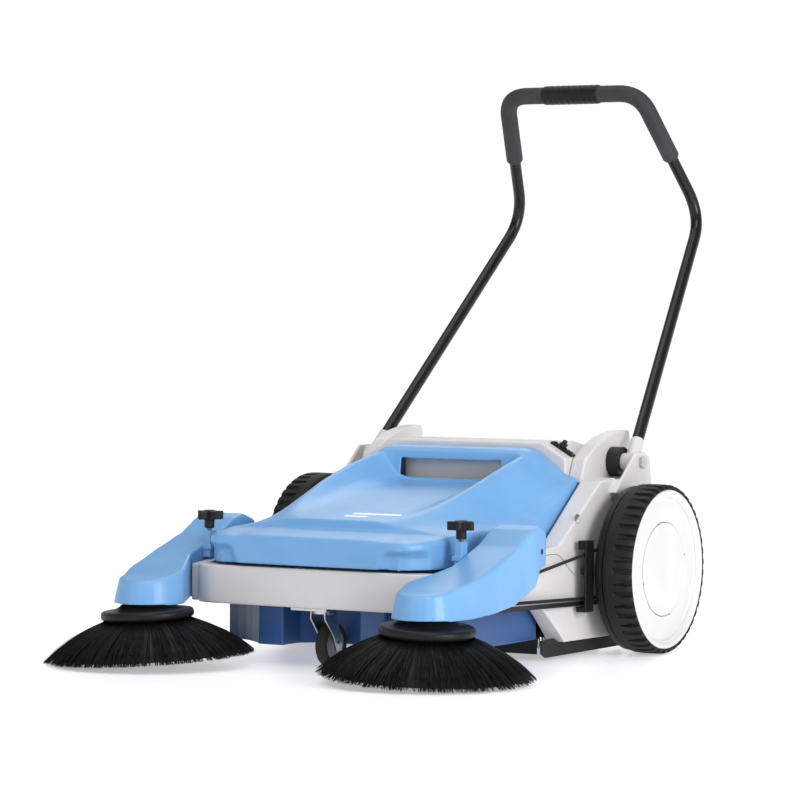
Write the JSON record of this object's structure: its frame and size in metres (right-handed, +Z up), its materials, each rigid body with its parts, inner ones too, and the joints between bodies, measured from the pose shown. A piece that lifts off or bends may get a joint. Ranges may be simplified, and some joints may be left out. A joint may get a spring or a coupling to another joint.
{
  "type": "walk behind sweeper",
  "caption": "Push sweeper with two belt-driven side brushes, a geared roller brush, a lift-out hopper under a blue hood and a folding tube handle.",
  "frame": {"origin": "centre of the bounding box on the floor plane", "axes": "+Z up, -Y towards the side brushes (driving direction), +X to the operator's left"},
  "size_m": [0.9048, 1.3412, 1.0343],
  "materials": {
    "blue_plastic": "satin moulded, fine grain",
    "grey_plastic": "satin moulded",
    "dark_grey_plastic": "matt moulded",
    "white_plastic": "smooth moulded",
    "black_plastic": "satin moulded",
    "rubber": "matt",
    "tyre_rubber": "matt moulded lugs",
    "black_bristle": "split nylon filament",
    "zinc_steel": "zinc plated",
    "black_painted_tube": "gloss powder coat",
    "soft_grip": "matt foam grain"
  },
  "bodies": {
    "chassis": {"front_bar": "grey_plastic", "rear_housing": "grey_plastic", "roller_tunnel": "dark_grey_plastic", "front_lip": "rubber", "rear_skirt": "rubber", "caster_plate": "zinc_steel", "adjuster_rack": "black_plastic", "side_panel_left": "grey_plastic", "side_skirt_left": "rubber", "axle_left": "zinc_steel", "handle_bolt_left": "zinc_steel", "side_panel_right": "grey_plastic", "side_skirt_right": "rubber", "axle_right": "zinc_steel", "handle_bolt_right": "zinc_steel"},
    "hopper": {"hood": "blue_plastic", "hopper": "blue_plastic"},
    "roller": {"roller_core": "dark_grey_plastic", "roller_bristles": "black_bristle", "roller_pinion": "white_plastic"},
    "handle": {"handle_tube": "black_painted_tube", "handle_grip": "soft_grip", "grip_sleeve": "black_plastic", "handle_socket_left": "grey_plastic", "handle_hub_left": "black_plastic", "handle_socket_right": "grey_plastic", "handle_hub_right": "black_plastic"},
    "caster_swivel": {"caster_fork": "zinc_steel", "caster_axle": "zinc_steel"},
    "caster_wheel": {"caster_wheel": "rubber"},
    "adjuster_lever": {"adjuster_lever": "black_plastic"},
    "wheel_left": {"tyre_left": "tyre_rubber", "wheel_rim_left": "white_plastic", "hub_cap_left": "white_plastic", "wheel_drum_left": "black_plastic", "drive_gear": "white_plastic"},
    "arm_left": {"arm_cover_left": "blue_plastic", "arm_frame_left": "black_plastic", "drive_belt_left": "rubber", "belt_guide_left": "black_plastic", "lift_post_left": "blue_plastic"},
    "knob_left": {"star_knob_left": "black_plastic"},
    "side_brush_left": {"brush_pulley_left": "zinc_steel", "brush_hub_left": "black_plastic", "brush_bristles_left": "black_bristle"},
    "wheel_right": {"tyre_right": "tyre_rubber", "wheel_rim_right": "white_plastic", "hub_cap_right": "white_plastic", "wheel_drum_right": "black_plastic"},
    "arm_right": {"arm_cover_right": "blue_plastic", "arm_frame_right": "black_plastic", "drive_belt_right": "rubber", "belt_guide_right": "black_plastic", "lift_post_right": "blue_plastic"},
    "knob_right": {"star_knob_right": "black_plastic"},
    "side_brush_right": {"brush_pulley_right": "zinc_steel", "brush_hub_right": "black_plastic", "brush_bristles_right": "black_bristle"}
  },
  "joints": [
    {"name": "hopper_lift", "type": "slide", "parent": "chassis", "child": "hopper", "axis": [0, 0, 1], "range_m": [0, 0.15]},
    {"name": "handle_fold", "type": "hinge", "parent": "chassis", "child": "handle", "pos_m": [0, 0.24326, 0.335], "axis": [1, 0, 0], "range_deg": [0, 100]},
    {"name": "wheel_spin_left", "type": "hinge", "parent": "chassis", "child": "wheel_left", "pos_m": [0, 0.18126, 0.15], "axis": [1, 0, 0], "continuous": true},
    {"name": "wheel_spin_right", "type": "hinge", "parent": "chassis", "child": "wheel_right", "pos_m": [0, 0.18126, 0.15], "axis": [1, 0, 0], "continuous": true},
    {"name": "roller_spin", "type": "hinge", "parent": "chassis", "child": "roller", "pos_m": [0, 0.10463, 0.12701], "axis": [1, 0, 0], "continuous": true},
    {"name": "caster_swivel", "type": "hinge", "parent": "chassis", "child": "caster_swivel", "pos_m": [0, -0.37074, 0.09], "axis": [0, 0, 1], "continuous": true},
    {"name": "caster_spin", "type": "hinge", "parent": "caster_swivel", "child": "caster_wheel", "pos_m": [0, -0.34274, 0.0375], "axis": [1, 0, 0], "continuous": true},
    {"name": "adjuster_slide", "type": "slide", "parent": "chassis", "child": "adjuster_lever", "axis": [0.8682, 0, -0.4961], "range_m": [0, 0.016]},
    {"name": "arm_lift_left", "type": "hinge", "parent": "chassis", "child": "arm_left", "pos_m": [0.28, 0.18126, 0.15], "axis": [-1, 0, 0], "range_deg": [0, 2.5]},
    {"name": "knob_turn_left", "type": "hinge", "parent": "arm_left", "child": "knob_left", "pos_m": [0.251, -0.33974, 0.2], "axis": [0, 0, 1], "range_deg": [-180, 180]},
    {"name": "side_brush_spin_left", "type": "hinge", "parent": "arm_left", "child": "side_brush_left", "pos_m": [0.277, -0.49274, 0.118], "axis": [0.0514, -0.0297, 0.9982], "continuous": true},
    {"name": "arm_lift_right", "type": "hinge", "parent": "chassis", "child": "arm_right", "pos_m": [-0.28, 0.18126, 0.15], "axis": [-1, 0, 0], "range_deg": [0, 2.5]},
    {"name": "knob_turn_right", "type": "hinge", "parent": "arm_right", "child": "knob_right", "pos_m": [-0.251, -0.33974, 0.2], "axis": [0, 0, 1], "range_deg": [-180, 180]},
    {"name": "side_brush_spin_right", "type": "hinge", "parent": "arm_right", "child": "side_brush_right", "pos_m": [-0.277, -0.49274, 0.118], "axis": [-0.0514, -0.0297, 0.9982], "continuous": true}
  ],
  "couplings": [
    {"joint": "roller_spin", "follows": "wheel_spin_left", "ratio": -3},
    {"joint": "side_brush_spin_left", "follows": "wheel_spin_left", "ratio": -3.3333},
    {"joint": "side_brush_spin_right", "follows": "wheel_spin_right", "ratio": 3.3333}
  ]
}
